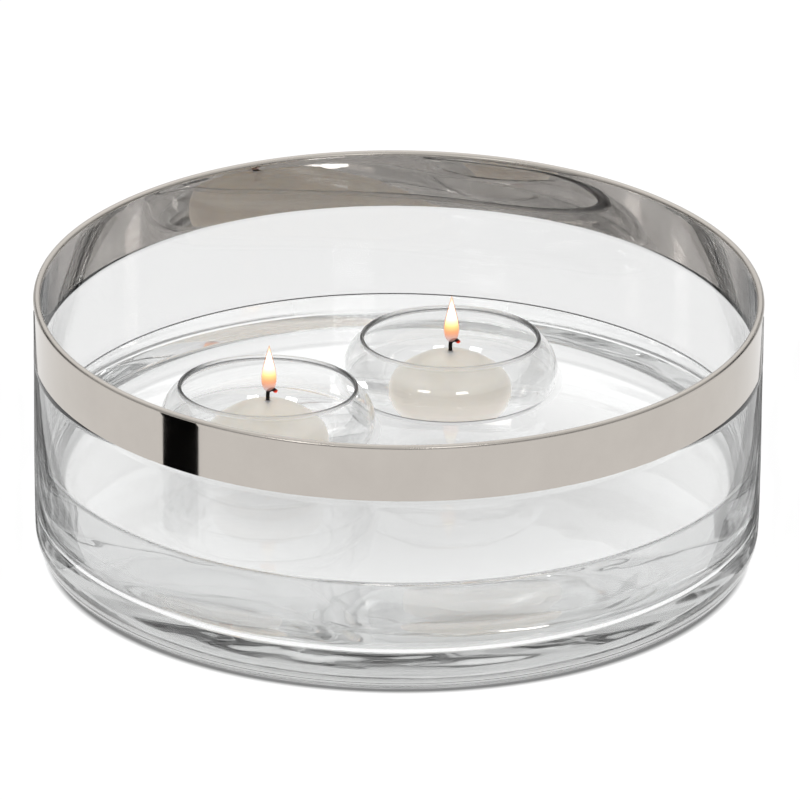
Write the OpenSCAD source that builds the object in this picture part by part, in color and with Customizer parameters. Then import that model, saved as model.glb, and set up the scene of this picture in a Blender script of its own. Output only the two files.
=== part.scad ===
// Floating candle bowl: a wide straight-sided glass bowl with a metal band
// round its rim, part filled with water, and two squat glass cups that float
// in it, each with a small wax candle inside.
// Millimetres. Origin on the resting plane at the centre of the base, +Z up.

/* [Bowl] */
// Outside diameter at the rim
rim_d = 255; // [230:1:280]
// Outside diameter just above the heel
foot_d = 252.6; // [228:0.2:278]
// Overall height
bowl_h = 96; // [85:0.5:115]
// Wall thickness at the rim, band included
wall = 2.5; // [2:0.1:4]
// Wall thickness where the wall meets the floor fillet
wall_low = 3.0; // [2:0.1:5]
// Glass thickness of the base
floor_t = 12.5; // [8:0.5:16]
// Width of the rounded outer heel
heel_w = 8.5; // [4:0.5:12]
// Height of the rounded outer heel
heel_h = 12; // [4:0.5:16]
// Width of the inner fillet between wall and floor
fillet_w = 12; // [5:0.5:18]
// Height of the inner fillet between wall and floor
fillet_h = 15; // [5:0.5:18]

/* [Band] */
// Height of the metal band, down from the rim
band_h = 21.1; // [12:0.1:30]
// Thickness of the metal band, set flush into the glass
band_t = 0.3; // [0.2:0.05:0.5]

/* [Water] */
// Height of the water surface above the resting plane
water_z = 42.6; // [40:0.1:50]

/* [Cups] */
// Largest outside diameter of a cup
cup_d = 75.2; // [72:0.2:76]
// Outside diameter of the cup mouth
cup_mouth_d = 62.8; // [58:0.2:68]
// Height of a cup
cup_h = 33; // [30:0.5:36]
// Height of the widest part of a cup above its base
cup_belly_z = 20.5; // [19:0.5:23]
// Diameter of the flat under a cup
cup_base_d = 40; // [30:1:48]
// Wall thickness of a cup
cup_wall = 1.2; // [1.1:0.1:2]
// Thickness of a cup's base
cup_floor = 1.6; // [1.2:0.1:2.5]
// How deep a cup sits in the water
cup_draft = 16.5; // [14:0.5:18]
// How far a floating cup leans back, in degrees
cup_lean = 3.5; // [0:0.5:4]
// Gap between a cup and the water shape round it
cup_gap = 0.25; // [0.2:0.05:0.4]
// Left cup, X of its centre at the water surface
left_x = -45.4; // [-50:0.2:-44]
// Left cup, Y of its centre at the water surface
left_y = 5.9; // [0:0.2:8]
// Right cup, X of its centre at the water surface
right_x = 18.1; // [16:0.2:24]
// Right cup, Y of its centre at the water surface
right_y = 49.5; // [46:0.2:54]

/* [Candles] */
// Largest diameter of a candle
wax_d = 43; // [38:0.5:46]
// Height of a candle without its wick
wax_h = 26.1; // [24:0.1:28]
// Height of the widest part of a candle
wax_belly_z = 11; // [9:0.5:12]
// Diameter of the flat under a candle
wax_flat_d = 18; // [17:0.5:22]
// Gap between a candle and the floor of its cup
wax_gap = 0.1; // [0.05:0.05:0.3]
// Diameter of the wick
wick_d = 1.4; // [1:0.1:2]
// Height of the straight part of the wick above the wax
wick_out = 2.3; // [1.5:0.1:5]
// Radius of the hook at the top of the wick
wick_hook = 1.5; // [1:0.1:2.5]
// Diameter of the metal disc that anchors the wick
tab_d = 15; // [12:0.5:16]
// Thickness of the metal disc
tab_t = 0.4; // [0.3:0.1:0.8]
// Height of the crimped collar on the disc
tab_neck_h = 3; // [2:0.5:5]

/* [Hidden] */
$fn = 160;

rim_r = rim_d / 2;
foot_r = foot_d / 2;
// The lip is a full round, of this radius with the band on it
lip_r = wall / 2;
lip_cr = rim_r - lip_r;
lip_cz = bowl_h - lip_r;
band_z = bowl_h - band_h;
in_low_r = foot_r - wall_low;
fillet_z = floor_t + fillet_h;
cup_r = cup_d / 2;
cup_base_r = cup_base_d / 2;
cup_mouth_r = cup_mouth_d / 2;
wax_r = wax_d / 2;
wick_r = wick_d / 2;
tab_r = tab_d / 2;
neck_r = wick_r + 0.35;

// Outside radius of the bowl's wall at height z, above the heel
function out_r(z) = foot_r + (rim_r - foot_r) * (z - heel_h) / (lip_cz - heel_h);
// Inside radius of the wall at height z, above the fillet
function in_r(z) = in_low_r + (lip_cr - lip_r + band_t - in_low_r)
                   * (z - fillet_z) / (lip_cz - fillet_z);
// Points along part of an ellipse, centre (cr, cz), from angle t0 to t1
function arc(cr, cz, a, b, t0, t1, n) =
    [for (i = [0:n]) let (t = t0 + (t1 - t0) * i / n) [cr + a * cos(t), cz + b * sin(t)]];
// The same with power p: 2 is an ellipse, less is slimmer between its ends
function slim(cr, cz, a, b, t0, t1, n, p) =
    [for (i = [0:n]) let (t = t0 + (t1 - t0) * i / n)
        [cr + a * pow(abs(cos(t)), 2 / p),
         cz + sign(sin(t)) * b * pow(abs(sin(t)), 2 / p)]];

fillet_pts = arc(in_low_r - fillet_w, fillet_z, fillet_w, fillet_h, 0, -90, 12);

// ---- bowl ----

// Thick-based bowl with a thin wall, a rounded heel and a rounded lip
module bowl_glass() {
    color([0.92, 0.95, 0.95, 0.35])
    rotate_extrude() polygon(concat(
        [[0, 0]],
        arc(foot_r - heel_w, heel_h, heel_w, heel_h, -90, 0, 12),
        [[out_r(band_z), band_z], [out_r(band_z) - band_t, band_z]],
        arc(lip_cr, lip_cz, lip_r - band_t, lip_r - band_t, 0, 180, 12),
        fillet_pts,
        [[0, floor_t]]));
}

// Thin polished metal on the outside of the rim and over the lip
module rim_band() {
    color([0.80, 0.79, 0.77])
    rotate_extrude() polygon(concat(
        [[out_r(band_z) - band_t, band_z], [out_r(band_z), band_z]],
        arc(lip_cr, lip_cz, lip_r, lip_r, 0, 180, 12),
        arc(lip_cr, lip_cz, lip_r - band_t, lip_r - band_t, 180, 0, 12)));
}

// Water from the floor to its surface, shaped round the floating cups
module water() {
    color([0.85, 0.93, 0.95, 0.25])
    difference() {
        rotate_extrude() polygon(concat(
            [[0, floor_t]],
            [for (i = [0:12]) fillet_pts[12 - i]],
            [[in_r(water_z), water_z], [0, water_z]]));
        float_at(left_x, left_y) cup_hull(cup_gap);
        float_at(right_x, right_y) cup_hull(cup_gap);
    }
}

// ---- cups ----

// Moves a cup's own frame (base centre, +Z along its axis) to where it floats
module float_at(x, y) {
    translate([x, y, water_z]) rotate([-cup_lean, 0, 0])
        translate([0, 0, -cup_draft]) children();
}

belly_a = cup_r - cup_base_r;
// Half height of the ellipse that carries the belly up to the mouth
belly_b = (cup_h - cup_belly_z)
          / sqrt(1 - pow((cup_mouth_r - cup_base_r) / belly_a, 2));
// Angle on that ellipse at which the rounded lip starts
mouth_t = asin((cup_h - cup_wall / 2 - cup_belly_z) / belly_b);

// Outside of a cup, grown by g, closed across its mouth
module cup_hull(g) {
    rotate_extrude() polygon(concat(
        [[0, -g]],
        slim(cup_base_r, cup_belly_z, belly_a + g, cup_belly_z + g, -90, 0, 20, 1.6),
        arc(cup_base_r, cup_belly_z, belly_a + g, belly_b + g, 4, mouth_t, 8),
        [[0, cup_belly_z + (belly_b + g) * sin(mouth_t)]]));
}

// Squat round cup, open at the top, with a fire-polished lip
module cup_shell() {
    mouth_out = cup_base_r + belly_a * cos(mouth_t);
    mouth_mid = mouth_out - cup_wall / 2;
    mouth_z = cup_h - cup_wall / 2;
    in_a = belly_a - cup_wall;
    in_b = belly_b - cup_wall;
    in_t = acos((mouth_out - cup_wall - cup_base_r) / in_a);
    rotate_extrude() polygon(concat(
        [[0, 0]],
        slim(cup_base_r, cup_belly_z, belly_a, cup_belly_z, -90, 0, 20, 1.6),
        arc(cup_base_r, cup_belly_z, belly_a, belly_b, 4, mouth_t, 8),
        arc(mouth_mid, mouth_z, cup_wall / 2, cup_wall / 2, 15, 165, 8),
        arc(cup_base_r, cup_belly_z, in_a, in_b, in_t, 4, 8),
        slim(cup_base_r, cup_belly_z, in_a, cup_belly_z - cup_floor, 0, -90, 20, 1.6),
        [[0, cup_floor]]));
}

module cup_left_glass() {
    color([0.90, 0.92, 0.92, 0.35]) float_at(left_x, left_y) cup_shell();
}

module cup_right_glass() {
    color([0.90, 0.92, 0.92, 0.35]) float_at(right_x, right_y) cup_shell();
}

// ---- candles ----

// Moves a candle's own frame (base centre) to where it stands in its cup
module stand_at(x, y) {
    float_at(x, y) translate([0, 0, cup_floor + wax_gap]) children();
}

shoulder_a = 5.2;
shoulder_b = wax_h - wax_belly_z - 7.0;
cone_t = 62;

// Wax body: rounded under, nearly upright sides, low cone on top
module wax_body() {
    difference() {
        rotate_extrude() polygon(concat(
            [[0, 0]],
            arc(wax_flat_d / 2, wax_belly_z, wax_r - wax_flat_d / 2, wax_belly_z, -90, 0, 14),
            arc(wax_r - shoulder_a, wax_belly_z, shoulder_a, shoulder_b, 10, cone_t, 8),
            [[3.5, wax_h - 1.1], [1.5, wax_h - 0.35], [0, wax_h - 0.2]]));
        // Bore for the wick, and the pocket of its anchor
        translate([0, 0, -1]) cylinder(r = wick_r, h = wax_h + 2);
        translate([0, 0, -1]) cylinder(r = tab_r, h = 1 + tab_t);
        translate([0, 0, -1]) cylinder(r = neck_r, h = 1 + tab_t + tab_neck_h);
    }
}

// Braided wick: straight through the wax, hooked over where it burns
module wick() {
    bend_z = wax_h + wick_out;
    translate([0, 0, tab_t]) cylinder(r = wick_r, h = bend_z - tab_t, $fn = 32);
    translate([wick_hook, 0, bend_z]) rotate([-90, 0, 0])
        rotate_extrude(angle = 160, $fn = 64) translate([-wick_hook, 0])
            circle(r = wick_r, $fn = 32);
}

// Metal anchor under the wick: a thin disc with a crimped collar
module wick_tab() {
    difference() {
        union() {
            cylinder(r = tab_r, h = tab_t);
            cylinder(r = neck_r, h = tab_t + tab_neck_h);
        }
        translate([0, 0, tab_t]) cylinder(r = wick_r, h = tab_neck_h + 1);
    }
}

module candle_left_wax() {
    color([0.85, 0.84, 0.79]) stand_at(left_x, left_y) wax_body();
}

module candle_right_wax() {
    color([0.85, 0.84, 0.79]) stand_at(right_x, right_y) wax_body();
}

module wick_left() {
    color([0.08, 0.07, 0.07]) stand_at(left_x, left_y) wick();
}

module wick_right() {
    color([0.08, 0.07, 0.07]) stand_at(right_x, right_y) wick();
}

module wick_tab_left() {
    color([0.70, 0.71, 0.72]) stand_at(left_x, left_y) wick_tab();
}

module wick_tab_right() {
    color([0.70, 0.71, 0.72]) stand_at(right_x, right_y) wick_tab();
}

bowl_glass();
rim_band();
water();
cup_left_glass();
candle_left_wax();
wick_left();
wick_tab_left();
cup_right_glass();
candle_right_wax();
wick_right();
wick_tab_right();
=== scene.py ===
import math
import random

import bpy
from mathutils import Matrix, Vector, noise
from mathutils.geometry import delaunay_2d_cdt


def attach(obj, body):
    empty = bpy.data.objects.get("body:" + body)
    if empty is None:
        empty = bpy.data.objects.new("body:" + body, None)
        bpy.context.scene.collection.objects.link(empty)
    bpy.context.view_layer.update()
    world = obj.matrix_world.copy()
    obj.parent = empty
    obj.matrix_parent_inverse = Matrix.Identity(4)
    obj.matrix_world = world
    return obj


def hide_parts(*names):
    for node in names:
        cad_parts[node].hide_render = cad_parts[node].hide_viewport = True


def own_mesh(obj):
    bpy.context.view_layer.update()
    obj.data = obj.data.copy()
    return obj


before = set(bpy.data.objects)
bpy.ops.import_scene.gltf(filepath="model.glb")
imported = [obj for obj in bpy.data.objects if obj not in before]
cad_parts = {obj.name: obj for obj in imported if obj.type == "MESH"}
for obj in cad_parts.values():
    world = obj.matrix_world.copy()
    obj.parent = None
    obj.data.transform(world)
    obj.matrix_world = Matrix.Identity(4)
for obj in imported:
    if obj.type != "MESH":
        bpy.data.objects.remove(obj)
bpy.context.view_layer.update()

# ---------------------------------------------------------------- dimensions, mm
RIM_R, FOOT_R, BOWL_H = 127.5, 126.3, 96.0
WALL, WALL_LOW, FLOOR_T = 2.5, 3.0, 12.5
HEEL_W, HEEL_H, FIL_W, FIL_H = 8.5, 12.0, 12.0, 15.0
BAND_H, BAND_T = 21.1, 0.3
WATER_Z = 42.6
CUP_R, CUP_MOUTH_R, CUP_H, BELLY_Z = 37.6, 31.4, 33.0, 20.5
CUP_BASE_R, CUP_WALL, CUP_FLOOR = 20.0, 1.2, 1.6
DRAFT, LEAN = 16.5, 3.5
CUPS = {"left": (-45.4, 5.9), "right": (18.1, 49.5)}
WAX_R, WAX_H, WAX_BELLY, WAX_FLAT, WAX_GAP = 21.5, 26.1, 11.0, 9.0, 0.1
WICK_R, WICK_OUT, HOOK = 0.7, 2.3, 1.5
TAB_R, TAB_T, NECK_H = 7.5, 0.4, 3.0
NECK_R = WICK_R + 0.35

LIP_R = WALL / 2
LIP_CR, LIP_CZ = RIM_R - LIP_R, BOWL_H - LIP_R
BAND_Z = BOWL_H - BAND_H
IN_LOW_R = FOOT_R - WALL_LOW
FIL_Z = FLOOR_T + FIL_H
BELLY_A = CUP_R - CUP_BASE_R
BELLY_B = (CUP_H - BELLY_Z) / math.sqrt(1 - ((CUP_MOUTH_R - CUP_BASE_R) / BELLY_A) ** 2)
MM = 0.001


def out_r(z):
    return FOOT_R + (RIM_R - FOOT_R) * (z - HEEL_H) / (LIP_CZ - HEEL_H)


def in_r(z):
    top = LIP_CR - LIP_R + BAND_T
    return IN_LOW_R + (top - IN_LOW_R) * (z - FIL_Z) / (LIP_CZ - FIL_Z)


def arc(cr, cz, a, b, t0, t1, n, p=2.0):
    pts = []
    for i in range(n + 1):
        t = math.radians(t0 + (t1 - t0) * i / n)
        c, s = math.cos(t), math.sin(t)
        pts.append((cr + a * math.copysign(abs(c) ** (2 / p), c), cz + b * math.copysign(abs(s) ** (2 / p), s)))
    return pts


def line(p, q, n):
    """Points from p to q, both ends left out."""
    return [(p[0] + (q[0] - p[0]) * i / n, p[1] + (q[1] - p[1]) * i / n) for i in range(1, n)]


# ---------------------------------------------------------------- mesh helpers
def new_object(name, verts, faces, matrix=None, smooth=True, sharp=None):
    """A mesh from points in mm. matrix is in mm too, and is worked into the mesh."""
    m = matrix or Matrix.Identity(4)
    me = bpy.data.meshes.new(name)
    me.from_pydata([tuple((m @ Vector(v)) * MM) for v in verts], [], faces)
    me.validate()
    me.update()
    if smooth:
        me.polygons.foreach_set("use_smooth", [True] * len(me.polygons))
    if sharp is not None:
        me.set_sharp_from_angle(angle=math.radians(sharp))
    ob = bpy.data.objects.new(name, me)
    bpy.context.scene.collection.objects.link(ob)
    return ob


def revolve(name, prof, n, matrix=None, closed=False, wobble=None, sharp=None, phase=0.0):
    """A turned body from (r, z) points. Points on the axis become one vertex. closed joins the last point to the first.
    wobble(r, z, angle, x, y) gives the (dr, dz) of a point."""
    verts, rows = [], []
    for r, z in prof:
        if r < 1e-6:
            dr, dz = wobble(0, z, 0, 0, 0) if wobble else (0, 0)
            rows.append([len(verts)] * n)
            verts.append((0, 0, z + dz))
            continue
        row = []
        for i in range(n):
            t = 2 * math.pi * i / n + phase
            c, s = math.cos(t), math.sin(t)
            dr, dz = wobble(r, z, t, r * c, r * s) if wobble else (0, 0)
            row.append(len(verts))
            verts.append(((r + dr) * c, (r + dr) * s, z + dz))
        rows.append(row)
    faces = []
    pairs = list(zip(rows, rows[1:])) + ([(rows[-1], rows[0])] if closed else [])
    for a, b in pairs:
        for i in range(n):
            j = (i + 1) % n
            f = [a[i], a[j], b[j], b[i]]
            f = [v for k, v in enumerate(f) if v != f[k - 1]]
            if len(f) >= 3:
                faces.append(f)
    return new_object(name, verts, faces, matrix, sharp=sharp)


def soft_noise(x, y, z, scale, seed=0.0):
    return noise.noise(Vector((x / scale + seed, y / scale - seed, z / scale + 2 * seed)))


# ---------------------------------------------------------------- material helpers
def new_material(name):
    mat = bpy.data.materials.new(name)
    mat.use_nodes = True
    nt = mat.node_tree
    nt.nodes.clear()
    out = nt.nodes.new("ShaderNodeOutputMaterial")
    return mat, nt, out


def node(nt, kind, **values):
    n = nt.nodes.new(kind)
    for k, v in values.items():
        if k in n.inputs:
            n.inputs[k].default_value = v
        else:
            setattr(n, k, v)
    return n


def set_in(n, **values):
    for k, v in values.items():
        n.inputs[k.replace("_", " ")].default_value = v


def ramp(nt, stops, interpolation="LINEAR"):
    r = nt.nodes.new("ShaderNodeValToRGB")
    r.color_ramp.interpolation = interpolation
    el = r.color_ramp.elements
    while len(el) > 1:
        el.remove(el[-1])
    el[0].position, el[0].color = stops[0][0], (*stops[0][1], 1) if len(stops[0][1]) == 3 else stops[0][1]
    for pos, col in stops[1:]:
        e = el.new(pos)
        e.color = (*col, 1) if len(col) == 3 else col
    return r


def grey(v):
    return (v, v, v)


def glass_material(name, ior, tint, ripple_scale, ripple, rough=0.0, grain=0.0, depth=None):
    """Clear material whose normal waves a little, as blown glass and still water do."""
    mat, nt, out = new_material(name)
    b = node(nt, "ShaderNodeBsdfPrincipled")
    set_in(b, Base_Color=(*tint, 1), Roughness=rough, IOR=ior, Transmission_Weight=1.0)
    co = node(nt, "ShaderNodeTexCoord")
    n1 = node(nt, "ShaderNodeTexNoise", Scale=ripple_scale, Detail=2.0, Roughness=0.45)
    nt.links.new(co.outputs["Object"], n1.inputs["Vector"])
    n2 = node(nt, "ShaderNodeTexNoise", Scale=ripple_scale * 6, Detail=1.0)
    nt.links.new(co.outputs["Object"], n2.inputs["Vector"])
    mix = node(nt, "ShaderNodeMath", operation="MULTIPLY_ADD")
    mix.inputs[1].default_value = grain
    nt.links.new(n2.outputs["Fac"], mix.inputs[0])
    nt.links.new(n1.outputs["Fac"], mix.inputs[2])
    bump = node(nt, "ShaderNodeBump", Strength=1.0, Distance=ripple)
    nt.links.new(mix.outputs[0], bump.inputs["Height"])
    nt.links.new(bump.outputs["Normal"], b.inputs["Normal"])
    nt.links.new(b.outputs[0], out.inputs["Surface"])
    if depth:
        v = nt.nodes.new("ShaderNodeVolumeAbsorption")
        v.inputs["Color"].default_value = (*depth[0], 1)
        v.inputs["Density"].default_value = depth[1]
        nt.links.new(v.outputs[0], out.inputs["Volume"])
    return mat


def tint_bowl(mat, dry, wet_painted_light, heel):
    """Colours the bowl's skin by place: dry wall, inside under water, and the thick outer heel. Inside under water the
    glass is a lighter copy: painted light, standing in for the light a wet glass face lets through.
    """
    nt = mat.node_tree
    b = next(n for n in nt.nodes if n.bl_idname == "ShaderNodeBsdfPrincipled")
    co = node(nt, "ShaderNodeTexCoord")
    sep = node(nt, "ShaderNodeSeparateXYZ")
    nt.links.new(co.outputs["Object"], sep.inputs[0])
    flat = node(nt, "ShaderNodeVectorMath", operation="MULTIPLY")
    flat.inputs[1].default_value = (1, 1, 0)
    nt.links.new(co.outputs["Object"], flat.inputs[0])
    rad = node(nt, "ShaderNodeVectorMath", operation="LENGTH")
    nt.links.new(flat.outputs[0], rad.inputs[0])
    # the outer skin is outside 126 mm wherever it is higher than the floor
    inside = ramp(nt, [(0.0, grey(1.0)), (0.4, grey(1.0)), (0.6, grey(0.0)), (1.0, grey(0.0))])
    nt.links.new(remap(nt, rad.outputs["Value"], 0.1247, 0.1259), inside.inputs["Fac"])
    deep = ramp(nt, [(0.0, grey(0.0)), (12.15 / 60, grey(0.0)), (12.3 / 60, grey(1.0)), ((WATER_Z - 0.6) / 60, grey(1.0)), ((WATER_Z - 0.1) / 60, grey(0.0))])
    nt.links.new(remap(nt, sep.outputs["Z"], 0.0, 0.060), deep.inputs["Fac"])
    both = node(nt, "ShaderNodeMath", operation="MULTIPLY")
    nt.links.new(inside.outputs["Color"], both.inputs[0])
    nt.links.new(deep.outputs["Color"], both.inputs[1])
    curve = ramp(nt, [(0.0, grey(0.0)), (0.2 / 16, grey(0.0)), (0.8 / 16, grey(1.0)), (10.0 / 16, grey(1.0)), (12.0 / 16, grey(0.0))])
    nt.links.new(remap(nt, sep.outputs["Z"], 0.0, 0.016), curve.inputs["Fac"])
    m1 = node(nt, "ShaderNodeMix", data_type="RGBA")
    m1.inputs[6].default_value = (*dry, 1)
    m1.inputs[7].default_value = (*heel, 1)
    nt.links.new(curve.outputs["Color"], m1.inputs[0])
    m2 = node(nt, "ShaderNodeMix", data_type="RGBA")
    m2.inputs[7].default_value = (*wet_painted_light, 1)
    nt.links.new(m1.outputs[2], m2.inputs[6])
    nt.links.new(both.outputs[0], m2.inputs[0])
    nt.links.new(m2.outputs[2], b.inputs["Base Color"])


def metal_material(name, lo, hi, rough_lo, rough_hi, wave, streak):
    """Polished metal coat: a faint mottle in colour and gloss, and a slow wave with drawn streaks along the rim."""
    mat, nt, out = new_material(name)
    b = node(nt, "ShaderNodeBsdfPrincipled")
    set_in(b, Metallic=1.0)
    co = node(nt, "ShaderNodeTexCoord")
    mottle = node(nt, "ShaderNodeTexNoise", Scale=60.0, Detail=5.0, Roughness=0.6)
    nt.links.new(co.outputs["Object"], mottle.inputs["Vector"])
    cr = ramp(nt, [(0.3, lo), (0.7, hi)])
    nt.links.new(mottle.outputs["Fac"], cr.inputs["Fac"])
    nt.links.new(cr.outputs["Color"], b.inputs["Base Color"])
    rr = ramp(nt, [(0.35, grey(rough_lo)), (0.7, grey(rough_hi))])
    nt.links.new(mottle.outputs["Fac"], rr.inputs["Fac"])
    nt.links.new(rr.outputs["Color"], b.inputs["Roughness"])
    slow = node(nt, "ShaderNodeTexNoise", Scale=9.0, Detail=2.0)
    nt.links.new(co.outputs["Object"], slow.inputs["Vector"])
    st = node(nt, "ShaderNodeMapping")
    st.inputs["Scale"].default_value = (18.0, 18.0, 260.0)
    nt.links.new(co.outputs["Object"], st.inputs["Vector"])
    fine = node(nt, "ShaderNodeTexNoise", Scale=1.0, Detail=3.0)
    nt.links.new(st.outputs["Vector"], fine.inputs["Vector"])
    add = node(nt, "ShaderNodeMath", operation="MULTIPLY_ADD")
    add.inputs[1].default_value = streak
    nt.links.new(fine.outputs["Fac"], add.inputs[0])
    nt.links.new(slow.outputs["Fac"], add.inputs[2])
    bump = node(nt, "ShaderNodeBump", Strength=1.0, Distance=wave)
    nt.links.new(add.outputs[0], bump.inputs["Height"])
    nt.links.new(bump.outputs["Normal"], b.inputs["Normal"])
    nt.links.new(b.outputs[0], out.inputs["Surface"])
    return mat


def wax_material(name):
    mat, nt, out = new_material(name)
    b = node(nt, "ShaderNodeBsdfPrincipled")
    set_in(b, Subsurface_Weight=0.85, Subsurface_Scale=0.030, IOR=1.44, Subsurface_Radius=(1.0, 0.82, 0.62))
    co = node(nt, "ShaderNodeTexCoord")
    n1 = node(nt, "ShaderNodeTexNoise", Scale=110.0, Detail=5.0, Roughness=0.6)
    nt.links.new(co.outputs["Object"], n1.inputs["Vector"])
    cr = ramp(nt, [(0.25, (0.610, 0.580, 0.520)), (0.6, (0.655, 0.627, 0.570)), (0.85, (0.69, 0.67, 0.62))])
    nt.links.new(n1.outputs["Fac"], cr.inputs["Fac"])
    nt.links.new(cr.outputs["Color"], b.inputs["Base Color"])
    rr = ramp(nt, [(0.3, grey(0.28)), (0.75, grey(0.42))])
    nt.links.new(n1.outputs["Fac"], rr.inputs["Fac"])
    nt.links.new(rr.outputs["Color"], b.inputs["Roughness"])
    n2 = node(nt, "ShaderNodeTexNoise", Scale=240.0, Detail=4.0)
    nt.links.new(co.outputs["Object"], n2.inputs["Vector"])
    bump = node(nt, "ShaderNodeBump", Strength=0.35, Distance=0.00025)
    nt.links.new(n2.outputs["Fac"], bump.inputs["Height"])
    nt.links.new(bump.outputs["Normal"], b.inputs["Normal"])
    # painted glow: emission on the lower half of the wax stands in for light that wax carries down inside itself, more
    # than the shader's own scattering gives
    glow = ramp(nt, [(0.0, (0.0, 0.0, 0.0)), (0.22, (0.62, 0.585, 0.55)), (0.50, (0.42, 0.395, 0.37)), (1.0, (0.0, 0.0, 0.0))])
    nt.links.new(remap(nt, height_of(nt), 0.0295, 0.051), glow.inputs["Fac"])
    nt.links.new(glow.outputs["Color"], b.inputs["Emission Color"])
    b.inputs["Emission Strength"].default_value = 1.0
    nt.links.new(b.outputs[0], out.inputs["Surface"])
    return mat


def height_of(nt):
    """Height of a point of the object itself, in metres, as a socket."""
    co = node(nt, "ShaderNodeTexCoord")
    sep = node(nt, "ShaderNodeSeparateXYZ")
    nt.links.new(co.outputs["Object"], sep.inputs[0])
    return sep.outputs["Z"]


def remap(nt, socket, a, b):
    r = node(nt, "ShaderNodeMapRange")
    r.inputs["From Min"].default_value = a
    r.inputs["From Max"].default_value = b
    nt.links.new(socket, r.inputs["Value"])
    return r.outputs[0]


# ---------------------------------------------------------------- bowl
def bowl_wobble(r, z, t, x, y):
    """Faint unevenness of hand-finished glass, most of it low down where the glass is thick."""
    if z < 0.5 or z > LIP_CZ - 1:
        return 0, 0
    if z > FLOOR_T - 0.1 and r < in_r(max(z, FIL_Z)) + 0.4:
        up = min(1.0, max(0.0, (z - FLOOR_T - 1) / 9))
        up = up * up * (3 - 2 * up)
        k = 0.22 - 0.12 * min(1.0, max(0.0, (z - 20) / 15))
        side = k * (soft_noise(x, y, z * 0.7, 30, 1.7) - 0.4)
        flat = 0.18 * soft_noise(x, y, 0, 38, 3.1) + 0.07 * soft_noise(x, y, 5, 13, 8.4)
        return up * side, (1 - up) * flat
    if z < HEEL_H + 10:
        k = 0.16 - 0.11 * min(1.0, max(0.0, (z - HEEL_H) / 10))
        return k * (soft_noise(x, y, z, 28, 5.2) - 0.5), 0
    return (0.05 * (soft_noise(x, y, z, 28, 5.2) - 0.5), 0) if z < BAND_Z - 2 else (0, 0)


def bowl_profile():
    half = BAND_T / 2
    p = [(0, 0)] + line((0, 0), (FOOT_R - HEEL_W, 0), 10)
    p += arc(FOOT_R - HEEL_W, HEEL_H, HEEL_W, HEEL_H, -90, 0, 28)
    top = (out_r(BAND_Z - 0.15), BAND_Z - 0.15)
    p += line(p[-1], top, 26) + [top]
    p += [(out_r(BAND_Z) - half, BAND_Z + 0.05)]
    lip = arc(LIP_CR, LIP_CZ, LIP_R - half, LIP_R - half, 0, 180, 16)
    p += line(p[-1], lip[0], 6) + lip
    fil = arc(IN_LOW_R - FIL_W, FIL_Z, FIL_W, FIL_H, 0, -90, 40, 1.75)
    a, b = (LIP_CR - LIP_R + BAND_T, LIP_CZ - 1.2), fil[0]
    p += [a] + line(a, b, 34) + fil
    p += line(fil[-1], (0, FLOOR_T), 22) + [(0, FLOOR_T)]
    return p


def band_wobble(r, z, t, x, y):
    """The coat's lower edge isn't quite straight."""
    if z > BAND_Z + 0.4:
        return 0, 0
    return 0, 0.10 * abs(soft_noise(x, y, 0, 4.0, 6.6)) + 0.05 * soft_noise(x, y, 0, 1.3, 1.1) + 0.03


def band_profile():
    """(outer skin and lip, inner skin), both from the lower edge up and over."""
    o = [(out_r(BAND_Z), BAND_Z), (out_r(BAND_Z + 0.5), BAND_Z + 0.5)]
    outer_lip = arc(LIP_CR, LIP_CZ, LIP_R, LIP_R, 0, 180, 18)
    o += line(o[-1], outer_lip[0], 16) + outer_lip
    inner_lip = arc(LIP_CR, LIP_CZ, LIP_R - BAND_T, LIP_R - BAND_T, 180, 0, 18)
    low = (out_r(BAND_Z) - BAND_T, BAND_Z)
    i = inner_lip + line(inner_lip[-1], (low[0], BAND_Z + 0.5), 16) + [(low[0], BAND_Z + 0.5), low]
    return o, i


glass_bowl = glass_material("bowl glass", 1.5, (0.825, 0.827, 0.826), 14.0, 0.00010, depth=((0.70, 0.705, 0.70), 5.0))
# the lighter tint under water is painted light
tint_bowl(glass_bowl, (0.825, 0.827, 0.826), (0.940, 0.942, 0.941), (0.825, 0.827, 0.826))
glass_cup = glass_material("cup glass", 1.5, (0.930, 0.931, 0.929), 30.0, 0.00012, depth=((0.70, 0.705, 0.70), 3.0))
# the lip glass is a lighter-tinted copy of the cup glass: painted light that keeps the rim's outline pale
glass_cup_lip = glass_material("cup glass, lip with painted lightening", 1.5, (0.98, 0.98, 0.98), 30.0, 0.00012, rough=0.32)
clear_water = glass_material("water", 1.333, (0.996, 0.998, 0.998), 11.0, 0.00006)
water_edge = glass_material("edge of the water", 1.333, (0.996, 0.998, 0.998), 11.0, 0.00006, rough=0.30)
band_out = metal_material("polished band", (0.505, 0.470, 0.432), (0.533, 0.497, 0.457), 0.04, 0.08, 0.00006, 0.012)
band_in = metal_material("band seen through glass", (0.455, 0.427, 0.404), (0.520, 0.488, 0.462), 0.0, 0.006, 0.00012, 0.02)
band_lip = metal_material("fired edge of the band", (0.44, 0.41, 0.375), (0.47, 0.44, 0.402), 0.24, 0.36, 0.00006, 0.012)

bowl = revolve("bowl_clear_glass", bowl_profile(), 360, wobble=bowl_wobble, sharp=40)
bowl.data.materials.append(glass_bowl)
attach(bowl, "bowl")
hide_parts("bowl_glass")

outer, inner = band_profile()
band = revolve("rim_band_metal", outer + inner, 360, closed=True, wobble=band_wobble, sharp=50)
band.data.materials.append(band_out)
band.data.materials.append(band_in)
band.data.materials.append(band_lip)
rows_out = len(outer)
for poly in band.data.polygons:
    if poly.index // 360 >= rows_out:
        poly.material_index = 1
    elif poly.center.z > (LIP_CZ - 0.1) * MM:
        poly.material_index = 2
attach(band, "bowl")
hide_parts("rim_band")


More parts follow.
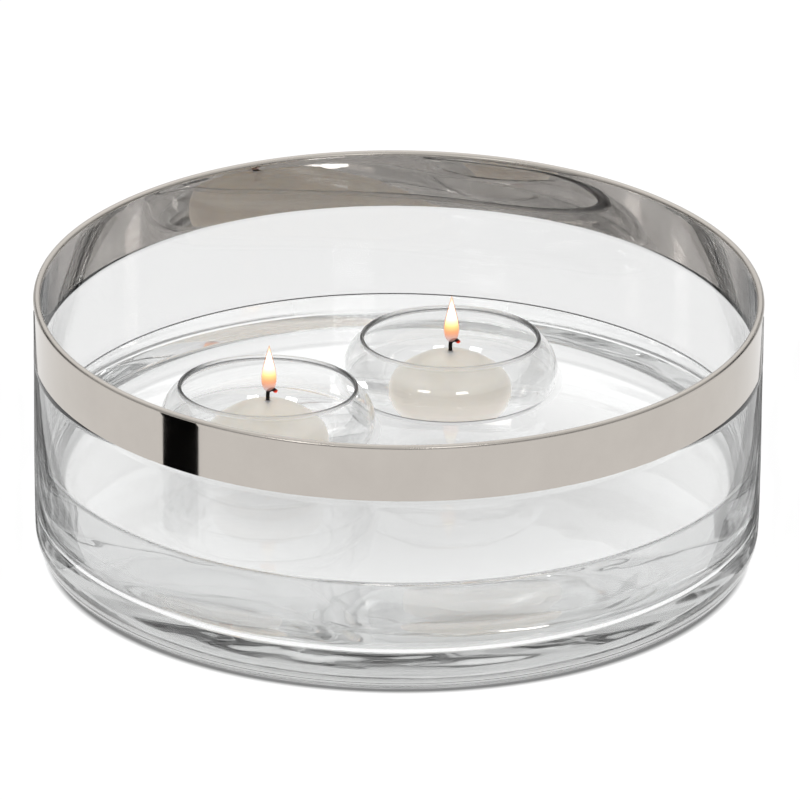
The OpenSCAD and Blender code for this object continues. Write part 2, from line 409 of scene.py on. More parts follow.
# ---------------------------------------------------------------- cups
def cup_matrix(side):
    x, y = CUPS[side]
    return (Matrix.Translation((x, y, WATER_Z)) @ Matrix.Rotation(math.radians(-LEAN), 4, "X")
            @ Matrix.Translation((0, 0, -DRAFT)))


def cup_outer_r(z, g=0.0):
    """Outside radius of a cup at height z above its base, grown by g."""
    if z < BELLY_Z:
        t = min(1.0, (BELLY_Z - z) / (BELLY_Z + g))
        return CUP_BASE_R + (BELLY_A + g) * (1 - t ** 1.6) ** (1 / 1.6)
    return CUP_BASE_R + (BELLY_A + g) * math.sqrt(max(0.0, 1 - ((z - BELLY_Z) / (BELLY_B + g)) ** 2))


def cup_profile():
    mouth_z, high = CUP_H - 0.7, BELLY_B - 1.35
    t = math.degrees(math.asin((mouth_z - 0.5 - BELLY_Z) / high))
    o = arc(CUP_BASE_R, BELLY_Z, BELLY_A, BELLY_Z, -90, 0, 40, 1.6)
    o += arc(CUP_BASE_R, BELLY_Z, BELLY_A, high, 3, t, 22)
    a, b = BELLY_A - CUP_WALL, high - CUP_WALL
    mid = CUP_BASE_R + BELLY_A * math.cos(math.radians(t)) - 0.72
    # the fire-polished lip
    bead = arc(mid, mouth_z - 0.1, 0.72, 0.75, 10, 175, 16)
    it = math.degrees(math.acos((mid - 0.60 - CUP_BASE_R) / a))
    i = arc(CUP_BASE_R, BELLY_Z, a, b, it, 3, 22)
    i += arc(CUP_BASE_R, BELLY_Z, a, BELLY_Z - CUP_FLOOR, 0, -90, 40, 1.6)
    base = [(0, 0.35)] + line((0, 0.35), (14, 0.3), 4) + [(14, 0.3), (15.5, 0.1), (17, 0.0)]
    return base + o + bead + i + line(i[-1], (0, CUP_FLOOR), 8) + [(0, CUP_FLOOR)]


def cup_wobble(r, z, t, x, y):
    return 0.06 * (soft_noise(x, y, z, 17, 9.3) - 0.5) if r > 4 else 0, 0


for side in CUPS:
    cup = revolve(f"cup_{side}_shell", cup_profile(), 224, cup_matrix(side), wobble=cup_wobble, sharp=50)
    cup.data.materials.append(glass_cup)
    cup.data.materials.append(glass_cup_lip)
    to_cup = cup_matrix(side).inverted()
    # the top faces take the lip glass, lightened as painted light
    for poly in cup.data.polygons:
        if (to_cup @ (poly.center / MM)).z > CUP_H - 1.35:
            poly.material_index = 1
    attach(cup, f"cup_{side}")
    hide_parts(f"cup_{side}_glass")


# ---------------------------------------------------------------- water
IN_GLASS = 0.12      # how far the water's mesh reaches into the glass round it
WALL_RISE, WALL_REACH = 0.14, 0.5
CUP_RISE = 0.3
N_OUT, N_CUP = 320, 176


def contact_loop(side):
    """Where the water's edge stands on a cup, just inside its outer surface: [(point, height on the cup)]."""
    m = cup_matrix(side)
    loop = []
    for i in range(N_CUP):
        t = 2 * math.pi * i / N_CUP
        lo, hi = 8.0, 19.5
        for _ in range(40):
            z = (lo + hi) / 2
            r = cup_outer_r(z) - IN_GLASS
            p = m @ Vector((r * math.cos(t), r * math.sin(t), z))
            if p.z < WATER_Z + CUP_RISE:
                lo = z
            else:
                hi = z
        loop.append((p, z))
    return loop


loops = {side: contact_loop(side) for side in CUPS}
centres = {side: sum((p for p, _ in loop), Vector()) / N_CUP for side, loop in loops.items()}
mean_r = {side: sum(((p - centres[side]).xy.length for p, _ in loop)) / N_CUP for side, loop in loops.items()}
wall_r = in_r(WATER_Z + WALL_RISE) + IN_GLASS


def cup_edge_distance(side, x, y):
    return math.hypot(x - centres[side].x, y - centres[side].y) - mean_r[side]


def ring_loop(side):
    """Foot of the curved rim of water round a cup: [(point, width there)]. It is narrower where the other cup is near."""
    other = [s for s in CUPS if s != side][0]
    ring = []
    for p, _ in loops[side]:
        out = (p - centres[side]).xy.normalized()
        w = min(2.6, max(0.9, cup_edge_distance(other, p.x, p.y) / 2 - 0.08))
        ring.append((Vector((p.x + out.x * w, p.y + out.y * w, WATER_Z)), w))
    return ring


rings = {side: ring_loop(side) for side in CUPS}


def inside_loop(side, x, y):
    hit = False
    px, py = rings[side][-1][0].x, rings[side][-1][0].y
    for p, _ in rings[side]:
        if (p.y > y) != (py > y) and x < (px - p.x) * (y - p.y) / (py - p.y) + p.x:
            hit = not hit
        px, py = p.x, p.y
    return hit


def water_body():
    """The water without the parts next to the cups: surface, side and underside."""
    pts, edges = [], []
    for i in range(N_OUT):
        t = 2 * math.pi * i / N_OUT
        pts.append((wall_r * math.cos(t), wall_r * math.sin(t)))
        edges.append((i, (i + 1) % N_OUT))
    starts = {}
    for side, ring in rings.items():
        s = len(pts)
        starts[side] = s
        for i, (p, _) in enumerate(ring):
            pts.append((p.x, p.y))
            edges.append((s + i, s + (i + 1) % N_CUP))
    for d in (0.25, 0.6, 1.05, 1.6, 2.3, 3.2, 4.4, 6.0, 8.5, 12.0):
        n = N_OUT if d < 5 else N_OUT // 2
        for i in range(n):
            t = 2 * math.pi * (i + 0.5) / n
            pts.append(((wall_r - d) * math.cos(t), (wall_r - d) * math.sin(t)))
    for d in (1.4, 3.2, 6.0, 10.0):
        for side, ring in rings.items():
            other = [s for s in CUPS if s != side][0]
            c = centres[side]
            for i in range(0, N_CUP, 1 if d < 3 else 2):
                p = ring[i][0]
                out = (p - c).xy.normalized()
                x, y = p.x + out.x * d, p.y + out.y * d
                if cup_edge_distance(other, x, y) > d + 2.7:
                    pts.append((x, y))
    rng = random.Random(7)
    g = -118.0
    while g < 119:
        h = -118.0
        while h < 119:
            x, y = g + rng.uniform(-2, 2), h + rng.uniform(-2, 2)
            if math.hypot(x, y) < wall_r - 14 and all(cup_edge_distance(s, x, y) > 14 for s in CUPS):
                pts.append((x, y))
            h += 9
        g += 9
    v2, _, tris, orig, _, _ = delaunay_2d_cdt([Vector(p) for p in pts], edges, [], 0, 1e-5)
    place = {}
    for k, o in enumerate(orig):
        for i in o:
            place[i] = k
    verts = []
    for v in v2:
        h = WALL_RISE * math.exp(-(wall_r - math.hypot(v.x, v.y)) / WALL_REACH)
        verts.append((v.x, v.y, WATER_Z + (h if h > 0.004 else 0.0)))
    for i in range(N_OUT):
        k = place[i]
        verts[k] = (verts[k][0], verts[k][1], WATER_Z + WALL_RISE)
    faces = []
    for f in tris:
        if any(inside_loop(side, sum(v2[i].x for i in f) / 3, sum(v2[i].y for i in f) / 3) for side in CUPS):
            continue
        a, b, c = (v2[i] for i in f)
        up = (b.x - a.x) * (c.y - a.y) - (b.y - a.y) * (c.x - a.x)
        faces.append(list(f) if up > 0 else list(reversed(f)))
    # down the wall, round the fillet and across the floor
    fil = arc(IN_LOW_R - FIL_W, FIL_Z, FIL_W + IN_GLASS, FIL_H + IN_GLASS, 0, -90, 40, 1.75)
    prof = line((wall_r, WATER_Z + WALL_RISE), fil[0], 10) + fil + line(fil[-1], (0, fil[-1][1]), 14)
    ring = [place[i] for i in range(N_OUT)]
    for r, z in prof:
        row = []
        for i in range(N_OUT):
            t = 2 * math.pi * i / N_OUT
            c, s = math.cos(t), math.sin(t)
            dr, dz = bowl_wobble(r - IN_GLASS, max(z, FLOOR_T), t, (r - IN_GLASS) * c, (r - IN_GLASS) * s)
            row.append(len(verts))
            verts.append(((r + dr) * c, (r + dr) * s, z + dz))
        for i in range(N_OUT):
            j = (i + 1) % N_OUT
            faces.append([ring[i], row[i], row[j], ring[j]])
        ring = row
    last = len(verts)
    verts.append((0, 0, fil[-1][1]))
    for i in range(N_OUT):
        faces.append([ring[i], last, ring[(i + 1) % N_OUT]])
    return verts, faces


def water_hollow(side):
    """The water's surface next to a floating cup: the curved rim that climbs it, and the hollow it presses."""
    m = cup_matrix(side)
    verts, faces = [tuple(p) for p, _ in rings[side]], []
    ring = list(range(N_CUP))

    def add(row_points):
        nonlocal ring
        row = list(range(len(verts), len(verts) + N_CUP))
        verts.extend(row_points)
        for i in range(N_CUP):
            j = (i + 1) % N_CUP
            faces.append([ring[i], ring[j], row[j], row[i]])
        ring = row

    for k in range(1, 9):
        u = 1 - k / 8
        add([tuple(p.lerp(q, u).xy) + (WATER_Z + CUP_RISE * (1 - u) ** 2,)
             for (p, _), (q, _) in zip(loops[side], rings[side])])
    rows = 22
    for k in range(1, rows + 1):
        u = k / rows
        row = []
        for i, (_, top) in enumerate(loops[side]):
            t = 2 * math.pi * i / N_CUP
            z = top * (1 - u) ** 1.5
            r = cup_outer_r(z) - IN_GLASS
            row.append(tuple(m @ Vector((r * math.cos(t), r * math.sin(t), z + IN_GLASS * u))))
        add(row)
    for r in (14.0, 8.0, 3.0):
        add([tuple(m @ Vector((r * math.cos(2 * math.pi * i / N_CUP), r * math.sin(2 * math.pi * i / N_CUP), 0.3 + IN_GLASS)))
             for i in range(N_CUP)])
    last = len(verts)
    verts.append(tuple(m @ Vector((0, 0, 0.35 + IN_GLASS))))
    for i in range(N_CUP):
        faces.append([ring[i], ring[(i + 1) % N_CUP], last])
    return verts, faces


water = new_object("water_body", *water_body())
water.data.materials.append(clear_water)
water.data.materials.append(water_edge)
for poly in water.data.polygons:
    if poly.center.z > (WATER_Z - 0.01) * MM and poly.center.xy.length > (wall_r - 1.05) * MM:
        poly.material_index = 1
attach(water, "bowl")
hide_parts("water")
for side in CUPS:
    hollow = new_object(f"water_round_cup_{side}", *water_hollow(side))
    hollow.data.materials.append(clear_water)
    hollow.data.materials.append(water_edge)
    for poly in hollow.data.polygons:
        if poly.index < 8 * N_CUP:
            poly.material_index = 1
    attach(hollow, "bowl")
    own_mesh(hollow)


# ---------------------------------------------------------------- candles
def candle_matrix(side):
    return cup_matrix(side) @ Matrix.Translation((0, 0, CUP_FLOOR + WAX_GAP))


def wax_profile():
    under = arc(WAX_FLAT, WAX_BELLY, WAX_R - WAX_FLAT, WAX_BELLY, -90, 0, 30)
    a, b = 5.2, WAX_H - WAX_BELLY - 7.0
    shoulder = arc(WAX_R - a, WAX_BELLY, a, b, 5, 58, 18)
    sr, sz = shoulder[-1]
    cone = []
    n = 22
    for i in range(1, n + 1):
        u = i / n
        r = sr + (2.2 - sr) * u
        straight = sz + (WAX_H - 0.3 - sz) * u
        cone.append((r, straight + 1.35 * math.sin(math.pi * u) ** 0.9))
    # melted dip round the wick, with wax drawn up the wick
    tip = [(1.7, WAX_H - 0.34), (1.25, WAX_H - 0.30), (0.95, WAX_H - 0.15), (0.78, WAX_H)]
    bore = [(WICK_R + 0.02, WAX_H - 0.1)] + line((WICK_R + 0.02, WAX_H - 0.1), (WICK_R + 0.02, TAB_T + NECK_H), 6)
    foot = [(WICK_R + 0.02, TAB_T + NECK_H), (NECK_R, TAB_T + NECK_H), (NECK_R, TAB_T), (TAB_R, TAB_T), (TAB_R, 0.0)]
    return foot + under + shoulder + cone + tip + bore


def wax_wobble(r, z, t, x, y):
    if r < 8 and z < WAX_BELLY:
        return 0, 0
    if r < 2.4:
        return 0, 0
    k = 0.10 * (soft_noise(x, y, z, 15, 4.4) - 0.5) + 0.04 * (soft_noise(x, y, z, 5, 2.4) - 0.5)
    return k, k * 0.6 if z > WAX_BELLY + 6 else 0


def wick_path():
    pts = []
    bend = WAX_H + WICK_OUT
    z = TAB_T
    while z < bend - 0.01:
        pts.append(Vector((0, 0, z)))
        z += 0.35
    for i in range(0, 23):
        a = math.radians(180 - 160 * i / 22)
        pts.append(Vector((HOOK + HOOK * math.cos(a), 0, bend + HOOK * math.sin(a))))
    return pts


def wick_mesh():
    """A cord of three twisted strands that frays and thins at its burnt tip."""
    path = wick_path()
    n = 24
    verts, faces, s = [], [], 0.0
    up = Vector((0, 1, 0))
    total = sum((b - a).length for a, b in zip(path, path[1:]))
    for k, p in enumerate(path):
        a, b = path[max(0, k - 1)], path[min(len(path) - 1, k + 1)]
        d = (b - a).normalized()
        side = up.cross(d).normalized()
        if k:
            s += (p - path[k - 1]).length
        burnt = max(0.0, 1 - (total - s) / 4.5)
        for i in range(n):
            t = 2 * math.pi * i / n
            lobe = 0.90 + 0.10 * abs(math.cos(1.5 * (t + s * 1.35)))
            crumble = 1 + burnt * 0.16 * noise.noise(Vector((3 * math.cos(t), 3 * math.sin(t), s * 2.2)))
            r = WICK_R * 0.99 * lobe * crumble * (1 + 0.06 * burnt)
            if k == len(path) - 1:
                r *= 0.72
            verts.append(p + (side * math.cos(t) + up * math.sin(t)) * r)
        if k:
            o = (k - 1) * n
            for i in range(n):
                j = (i + 1) % n
                faces.append([o + i, o + j, o + n + j, o + n + i])
    o = len(verts) - n
    d = (path[-1] - path[-2]).normalized()
    verts.append(path[-1] + d * 0.28)
    for i in range(n):
        faces.append([o + i, o + (i + 1) % n, len(verts) - 1])
    verts.append(path[0])
    for i in range(n):
        faces.append([(i + 1) % n, i, len(verts) - 1])
    return verts, faces


def wick_material(side):
    """Charred cord, waxy at its foot, with an ember at the hooked end."""
    mat, nt, out = new_material(f"charred wick {side}")
    b = node(nt, "ShaderNodeBsdfPrincipled")
    set_in(b, Roughness=0.85, Specular_IOR_Level=0.12)
    co = node(nt, "ShaderNodeTexCoord")
    n1 = node(nt, "ShaderNodeTexNoise", Scale=2600.0, Detail=4.0)
    nt.links.new(co.outputs["Object"], n1.inputs["Vector"])
    cr = ramp(nt, [(0.3, (0.004, 0.003, 0.003)), (0.7, (0.022, 0.018, 0.016))])
    nt.links.new(n1.outputs["Fac"], cr.inputs["Fac"])
    nt.links.new(cr.outputs["Color"], b.inputs["Base Color"])
    bump = node(nt, "ShaderNodeBump", Strength=0.6, Distance=0.00012)
    nt.links.new(n1.outputs["Fac"], bump.inputs["Height"])
    nt.links.new(bump.outputs["Normal"], b.inputs["Normal"])
    tip = candle_matrix(side) @ Vector((HOOK + HOOK * math.cos(math.radians(20)), 0, WAX_H + WICK_OUT + HOOK * math.sin(math.radians(20)) - 0.2))
    dist = node(nt, "ShaderNodeVectorMath", operation="DISTANCE")
    nt.links.new(co.outputs["Object"], dist.inputs[0])
    dist.inputs[1].default_value = tip * MM
    er = ramp(nt, [(0.0, (1.0, 0.10, 0.02)), (0.45, (0.55, 0.03, 0.01)), (1.0, (0.0, 0.0, 0.0))])
    nt.links.new(remap(nt, dist.outputs["Value"], 0.0002, 0.0014), er.inputs["Fac"])
    nt.links.new(er.outputs["Color"], b.inputs["Emission Color"])
    b.inputs["Emission Strength"].default_value = 1.6
    nt.links.new(b.outputs[0], out.inputs["Surface"])
    return mat


def flame_profile(height, width, grow=0.0):
    """A teardrop: full below its middle, drawn out to a point."""
    pts = []
    n = 44
    for i in range(n + 1):
        u = i / n
        w = (math.sin(math.pi * u ** 0.60) ** 0.80) * (1 - 0.12 * u)
        taper = 1 - 0.40 * max(0.0, (u - 0.35) / 0.65)
        r = width / 2 * w * taper * 1.05 + grow * math.sin(math.pi * u) ** 0.5
        pts.append((max(0.0, r), u * height))
    pts[0] = (0.0, 0.0)
    pts[-1] = (0.0, height)
    return pts


def flame_material(side, base, height, shell):
    mat, nt, out = new_material(f"flame {'rim' if shell else 'core'} {side}")
    z = remap(nt, height_of(nt), base * MM, (base + height) * MM)
    em = node(nt, "ShaderNodeEmission")
    if shell:
        col = ramp(nt, [(0.0, (0.25, 0.30, 0.60)), (0.18, (1.0, 0.22, 0.06)), (0.6, (1.0, 0.30, 0.05)), (1.0, (1.0, 0.42, 0.12))])
        alpha = ramp(nt, [(0.0, grey(0.0)), (0.15, grey(0.10)), (0.5, grey(0.22)), (0.9, grey(0.26)), (1.0, grey(0.3))])
        em.inputs["Strength"].default_value = 1.0
    else:
        col = ramp(nt, [(0.0, (0.42, 0.36, 0.34)), (0.14, (0.80, 0.42, 0.32)), (0.26, (1.0, 0.46, 0.24)), (0.40, (1.0, 0.66, 0.26)),
                        (0.52, (1.0, 0.90, 0.52)), (0.66, (1.0, 0.98, 0.86)), (0.88, (1.0, 0.98, 0.80)), (1.0, (1.0, 0.80, 0.45))])
        alpha = ramp(nt, [(0.0, grey(0.10)), (0.10, grey(0.45)), (0.22, grey(0.74)), (0.36, grey(0.93)), (0.5, grey(1.0)), (1.0, grey(1.0))])
        st = ramp(nt, [(0.0, grey(0.16)), (0.3, grey(0.22)), (0.55, grey(0.45)), (0.8, grey(0.5)), (1.0, grey(0.28))])
        nt.links.new(z, st.inputs["Fac"])
        up = node(nt, "ShaderNodeMath", operation="MULTIPLY")
        up.inputs[1].default_value = 5.0
        nt.links.new(st.outputs["Color"], up.inputs[0])
        nt.links.new(up.outputs[0], em.inputs["Strength"])
    nt.links.new(z, col.inputs["Fac"])
    nt.links.new(z, alpha.inputs["Fac"])
    nt.links.new(col.outputs["Color"], em.inputs["Color"])
    tr = node(nt, "ShaderNodeBsdfTransparent")
    mix = node(nt, "ShaderNodeMixShader")
    nt.links.new(alpha.outputs["Color"], mix.inputs["Fac"])
    nt.links.new(tr.outputs[0], mix.inputs[1])
    nt.links.new(em.outputs[0], mix.inputs[2])
    nt.links.new(mix.outputs[0], out.inputs["Surface"])
    return mat


def steel_material():
    mat, nt, out = new_material("tinned wick anchor")
    b = node(nt, "ShaderNodeBsdfPrincipled")
    set_in(b, Metallic=1.0)
    co = node(nt, "ShaderNodeTexCoord")
    mp = node(nt, "ShaderNodeMapping")
    mp.inputs["Scale"].default_value = (60.0, 2400.0, 60.0)
    nt.links.new(co.outputs["Object"], mp.inputs["Vector"])
    n1 = node(nt, "ShaderNodeTexNoise", Scale=1.0, Detail=4.0)
    nt.links.new(mp.outputs["Vector"], n1.inputs["Vector"])
    cr = ramp(nt, [(0.3, (0.46, 0.46, 0.47)), (0.7, (0.66, 0.66, 0.66))])
    nt.links.new(n1.outputs["Fac"], cr.inputs["Fac"])
    nt.links.new(cr.outputs["Color"], b.inputs["Base Color"])
    rr = ramp(nt, [(0.3, grey(0.28)), (0.7, grey(0.46))])
    nt.links.new(n1.outputs["Fac"], rr.inputs["Fac"])
    nt.links.new(rr.outputs["Color"], b.inputs["Roughness"])
    bump = node(nt, "ShaderNodeBump", Strength=0.3, Distance=0.00004)
    nt.links.new(n1.outputs["Fac"], bump.inputs["Height"])
    nt.links.new(bump.outputs["Normal"], b.inputs["Normal"])
    nt.links.new(b.outputs[0], out.inputs["Surface"])
    return mat


# the wax holds a painted glow low on its side
wax = wax_material("candle wax")
anchor = steel_material()
FLAME_H, FLAME_W = 17.0, 5.0

for side in CUPS:
    m = candle_matrix(side)
    body = revolve(f"candle_{side}_body", wax_profile(), 160, m, closed=True, wobble=wax_wobble, sharp=45)
    body.data.materials.append(wax)
    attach(body, f"candle_{side}")
    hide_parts(f"candle_{side}_wax")

    cord = new_object(f"wick_{side}_cord", *wick_mesh(), m)
    cord.data.materials.append(wick_material(side))
    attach(cord, f"candle_{side}")
    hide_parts(f"wick_{side}")

    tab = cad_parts[f"wick_tab_{side}"]
    tab.data.materials.clear()
    tab.data.materials.append(anchor)

    tip = m @ Vector((0, 0, WAX_H + 2.4))
    base = tip.z
    place = Matrix.Translation((tip.x + 0.35, tip.y + 1.0, base))
    core = revolve(f"flame_{side}_core", flame_profile(FLAME_H, FLAME_W), 48, place)
    core.data.materials.append(flame_material(side, base, FLAME_H, False))
    rim = revolve(f"flame_{side}_rim", flame_profile(FLAME_H + 0.9, FLAME_W, 0.28), 48, place)
    rim.data.materials.append(flame_material(side, base, FLAME_H + 0.9, True))
    for piece in (core, rim):
        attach(piece, f"candle_{side}")
        piece.visible_shadow = False


# ---------------------------------------------------------------- stage
def stage_plane(name, corners, mat, camera=True):
    ob = new_object(name, corners, [list(range(len(corners)))], smooth=False)
    ob.data.materials.append(mat)
    ob.visible_camera = camera
    return ob


floor_mat, nt, out = new_material("studio floor")
d = node(nt, "ShaderNodeBsdfDiffuse")
d.inputs["Color"].default_value = (0.05, 0.05, 0.05, 1)
# a light table whose glow under the bowl holds painted light and shade: a painted pool of light in a ring under the
# glass, and painted shade in its middle under the cups
em = node(nt, "ShaderNodeEmission", Strength=1.0)
ge = node(nt, "ShaderNodeNewGeometry")
far = node(nt, "ShaderNodeVectorMath", operation="LENGTH")
nt.links.new(ge.outputs["Position"], far.inputs[0])
core = ramp(nt, [(0.0, grey(0.88)), (0.40, grey(0.90)), (0.62, grey(1.04)), (0.84, grey(1.22)), (0.975, grey(1.22)), (1.0, grey(0.99))])
nt.links.new(remap(nt, far.outputs["Value"], 0.0, 0.1205), core.inputs["Fac"])
# painted contact shadow: a dark ring where the bowl stands, fading out behind it
near = ramp(nt, [(0.0, grey(0.0)), (0.955, grey(0.0)), (0.966, grey(0.80)), (0.980, grey(0.80)), (1.0, grey(0.0))])
nt.links.new(remap(nt, far.outputs["Value"], 0.0, 0.1235), near.inputs["Fac"])
ysep = node(nt, "ShaderNodeSeparateXYZ")
nt.links.new(ge.outputs["Position"], ysep.inputs[0])
front = ramp(nt, [(0.0, grey(1.0)), (0.45, grey(1.0)), (0.75, grey(0.25)), (1.0, grey(0.12))])
nt.links.new(remap(nt, ysep.outputs["Y"], -0.12, 0.12), front.inputs["Fac"])
# how much painted shadow each point of the floor gets
dark = node(nt, "ShaderNodeMath", operation="MULTIPLY")
nt.links.new(near.outputs["Color"], dark.inputs[0])
nt.links.new(front.outputs["Color"], dark.inputs[1])
light = node(nt, "ShaderNodeMath", operation="SUBTRACT")
light.inputs[0].default_value = 1.0
nt.links.new(dark.outputs[0], light.inputs[1])
glow = node(nt, "ShaderNodeMix", data_type="RGBA", blend_type="MULTIPLY")
glow.inputs[0].default_value = 1.0
nt.links.new(core.outputs["Color"], glow.inputs[6])
nt.links.new(light.outputs[0], glow.inputs[7])
nt.links.new(glow.outputs[2], em.inputs["Color"])
add = node(nt, "ShaderNodeAddShader")
nt.links.new(d.outputs[0], add.inputs[0])
nt.links.new(em.outputs[0], add.inputs[1])
nt.links.new(add.outputs[0], out.inputs["Surface"])
n = 96
disc = [(900 * math.cos(2 * math.pi * i / n), 900 * math.sin(2 * math.pi * i / n) + 60, -0.15) for i in range(n)]
stage_plane("studio_floor", disc, floor_mat)

black, nt, out = new_material("black card")
d = node(nt, "ShaderNodeBsdfDiffuse")
d.inputs["Color"].default_value = (0.004, 0.004, 0.004, 1)
nt.links.new(d.outputs[0], out.inputs["Surface"])


dim, nt, out = new_material("streaked grey card")
d = node(nt, "ShaderNodeEmission", Strength=1.0)
co = node(nt, "ShaderNodeTexCoord")
mp = node(nt, "ShaderNodeMapping")
mp.inputs["Scale"].default_value = (150.0, 9.0, 1.0)
nt.links.new(co.outputs["Object"], mp.inputs["Vector"])
n1 = node(nt, "ShaderNodeTexNoise", Scale=1.0, Detail=2.5, Roughness=0.65)
nt.links.new(mp.outputs["Vector"], n1.inputs["Vector"])
cr = ramp(nt, [(0.36, grey(0.02)), (0.44, grey(0.14)), (0.50, grey(0.45)), (0.55, grey(0.20)), (0.64, grey(0.95))])
nt.links.new(n1.outputs["Fac"], cr.inputs["Fac"])
nt.links.new(cr.outputs["Color"], d.inputs["Color"])
nt.links.new(d.outputs[0], out.inputs["Surface"])


def mirrored_in_band(px, reach):
    """Where the camera's ray, mirrored in the band at the photo's column px, is after reach mm across the floor."""
    x = (px - 398.0) / 2.869
    y = -math.sqrt(RIM_R ** 2 - x * x)
    nrm = Vector((x, y, 0)).normalized()
    e = math.radians(24)
    v = Vector((0, math.cos(e), -math.sin(e)))
    r = (v - 2 * v.dot(nrm) * nrm).xy.normalized()
    return x + r.x * reach, y + r.y * reach


c1, c2 = mirrored_in_band(162, 106), mirrored_in_band(198, 106)
card = [(*c1, 0), (*c2, 0), (*c2, 62), (*c1, 62)]
stage_plane("black_flag", card, black, camera=False)

# dark cards flat on the table close to the bowl's sides draw the edges of the glass
for k, name in ((-1, "side_card_left"), (1, "side_card_right")):
    card = [(k * 130, 20, 0.2), (k * 131, -24, 0.2), (k * 152, -42, 0.2), (k * 176, -5, 0.2), (k * 181, 100, 0.2), (k * 168, 200, 0.2), (k * 142, 200, 0.2), (k * 125, 95, 0.2), (k * 131, 62, 0.2)]
    stage_plane(name, card[::k], dim, camera=False)
for k, name in ((-1, "hung_flag_left"), (1, "hung_flag_right")):
    ends = [(k * 360 * math.sin(math.radians(a)), 360 * math.cos(math.radians(a))) for a in (57, 84)]
    stage_plane(name, [(*ends[0], 55), (*ends[1], 55), (*ends[1], 190), (*ends[0], 190)], black, camera=False)

# streaked cards hung behind: the bowl's far side sees them through the water
for k, name in ((-1, "hung_card_left"), (1, "hung_card_right")):
    ends = [(k * 235, 405), (k * 352, 225)]
    stage_plane(name, [(*ends[0], 128), (*ends[1], 128), (*ends[1], 245), (*ends[0], 245)], dim, camera=False)

# world: white to the eye; to everything else a pale tent, brightest overhead and dim low down at the sides
world = bpy.data.worlds.new("studio")
bpy.context.scene.world = world
world.use_nodes = True
nt = world.node_tree
nt.nodes.clear()
out = nt.nodes.new("ShaderNodeOutputWorld")
co = node(nt, "ShaderNodeTexCoord")
sep = node(nt, "ShaderNodeSeparateXYZ")
nt.links.new(co.outputs["Generated"], sep.inputs[0])
flat = node(nt, "ShaderNodeVectorMath", operation="MULTIPLY")
flat.inputs[1].default_value = (1, 1, 0)
nt.links.new(co.outputs["Generated"], flat.inputs[0])
unit = node(nt, "ShaderNodeVectorMath", operation="NORMALIZE")
nt.links.new(flat.outputs[0], unit.inputs[0])
usep = node(nt, "ShaderNodeSeparateXYZ")
nt.links.new(unit.outputs[0], usep.inputs[0])
depth = remap(nt, usep.outputs["Y"], -1.0, 1.0)      # 0 towards the camera, 0.5 at the sides, 1 at the back
low = ramp(nt, [(0.0, grey(0.31)), (0.25, grey(0.33)), (0.5, grey(0.40)), (0.7, grey(0.52)), (0.88, grey(0.78)), (1.0, grey(0.90))])
nt.links.new(depth, low.inputs["Fac"])
rise = ramp(nt, [(0.0, grey(0.0)), (0.18, grey(0.08)), (0.45, grey(0.6)), (0.7, grey(1.0))])
nt.links.new(sep.outputs["Z"], rise.inputs["Fac"])
tent = node(nt, "ShaderNodeMix", data_type="RGBA")
nt.links.new(rise.outputs["Color"], tent.inputs[0])
nt.links.new(low.outputs["Color"], tent.inputs[6])
high = ramp(nt, [(0.0, grey(1.02)), (0.55, grey(1.06)), (0.8, grey(1.40)), (1.0, grey(1.45))])
nt.links.new(depth, high.inputs["Fac"])
nt.links.new(high.outputs["Color"], tent.inputs[7])
room = node(nt, "ShaderNodeBackground", Strength=1.0)
nt.links.new(tent.outputs[2], room.inputs["Color"])
eye = node(nt, "ShaderNodeBackground", Strength=1.15)
eye.inputs["Color"].default_value = (1, 1, 1, 1)
lp = node(nt, "ShaderNodeLightPath")
mix = node(nt, "ShaderNodeMixShader")
nt.links.new(lp.outputs["Is Camera Ray"], mix.inputs["Fac"])
nt.links.new(room.outputs[0], mix.inputs[1])
nt.links.new(eye.outputs[0], mix.inputs[2])
nt.links.new(mix.outputs[0], out.inputs["Surface"])


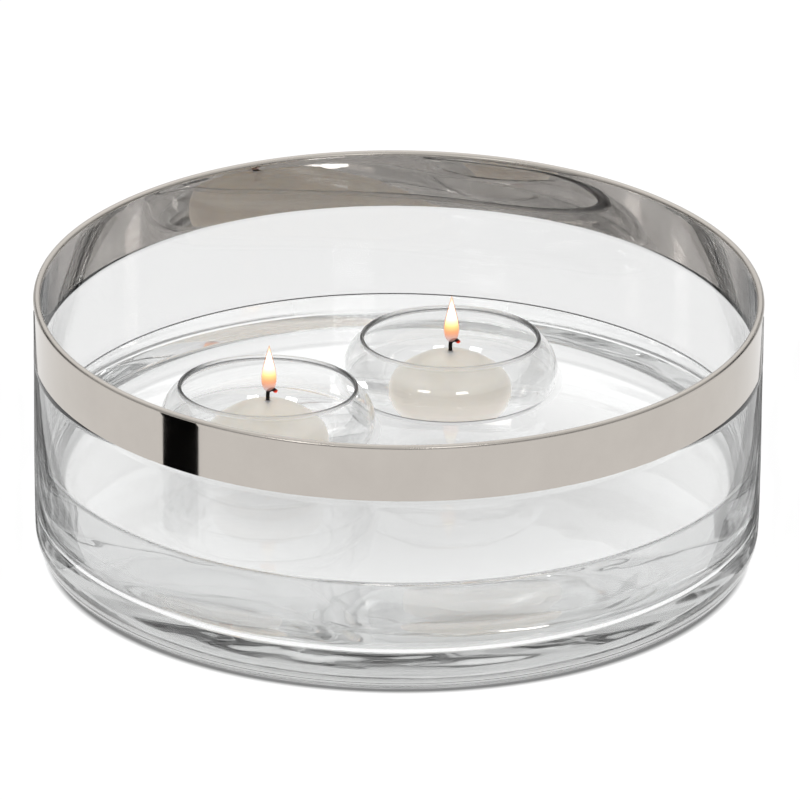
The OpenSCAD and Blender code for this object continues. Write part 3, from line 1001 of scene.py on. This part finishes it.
def softbox(name, azimuth, elevation, wide, high, radiance, dist=1.25):
    a, e = math.radians(azimuth), math.radians(elevation)
    li = bpy.data.lights.new(name, "AREA")
    li.shape = "RECTANGLE"
    li.size = 2 * dist * math.tan(math.radians(wide / 2))
    li.size_y = 2 * dist * math.tan(math.radians(high / 2))
    li.energy = radiance * math.pi * li.size * li.size_y
    ob = bpy.data.objects.new(name, li)
    at = Vector((math.sin(a) * math.cos(e), -math.cos(a) * math.cos(e), math.sin(e))) * dist + Vector((0, 0.03, 0.06))
    ob.location = at
    ob.rotation_euler = (Vector((0, 0.03, 0.06)) - at).to_track_quat("-Z", "Y").to_euler()
    ob.visible_camera = False
    bpy.context.scene.collection.objects.link(ob)


softbox("softbox_left", -30, 26, 13, 7, 8.5)
softbox("softbox_right", 15, 26, 12, 7, 8.5)

# ---------------------------------------------------------------- camera
DIST = 3.0
PX_PER_M = 2869.0
cam_data = bpy.data.cameras.new("camera")
cam = bpy.data.objects.new("camera", cam_data)
bpy.context.scene.collection.objects.link(cam)
bpy.context.scene.camera = cam
# the photo was taken from far away: nothing in it gets smaller towards the back
cam_data.type = "ORTHO"
cam_data.ortho_scale = 800.0 / PX_PER_M
cam_data.clip_start, cam_data.clip_end = 0.5, 20.0
e = math.radians(24.0)
back = Vector((0, -math.cos(e), math.sin(e)))
# the point that falls on the middle of the picture: x 398 is X = 0, y 550 is the base's centre
look = Vector((0.697, 0, 57.04)) * MM
cam.location = look + back * DIST
roll = Matrix.Rotation(math.radians(0.47), 3, "Z")
cam.rotation_euler = ((-back).to_track_quat("-Z", "Y").to_matrix() @ roll).to_euler()

# ---------------------------------------------------------------- look of the picture
sc = bpy.context.scene
sc.view_settings.view_transform = "Standard"
sc.view_settings.look = "None"
sc.cycles.max_bounces = 32
sc.cycles.transmission_bounces = 32
sc.cycles.glossy_bounces = 10
sc.cycles.diffuse_bounces = 4
sc.cycles.transparent_max_bounces = 24
sc.cycles.caustics_reflective = True
sc.cycles.caustics_refractive = True
sc.cycles.blur_glossy = 0.4
sc.cycles.sample_clamp_indirect = 6.0
sc.cycles.use_denoising = True
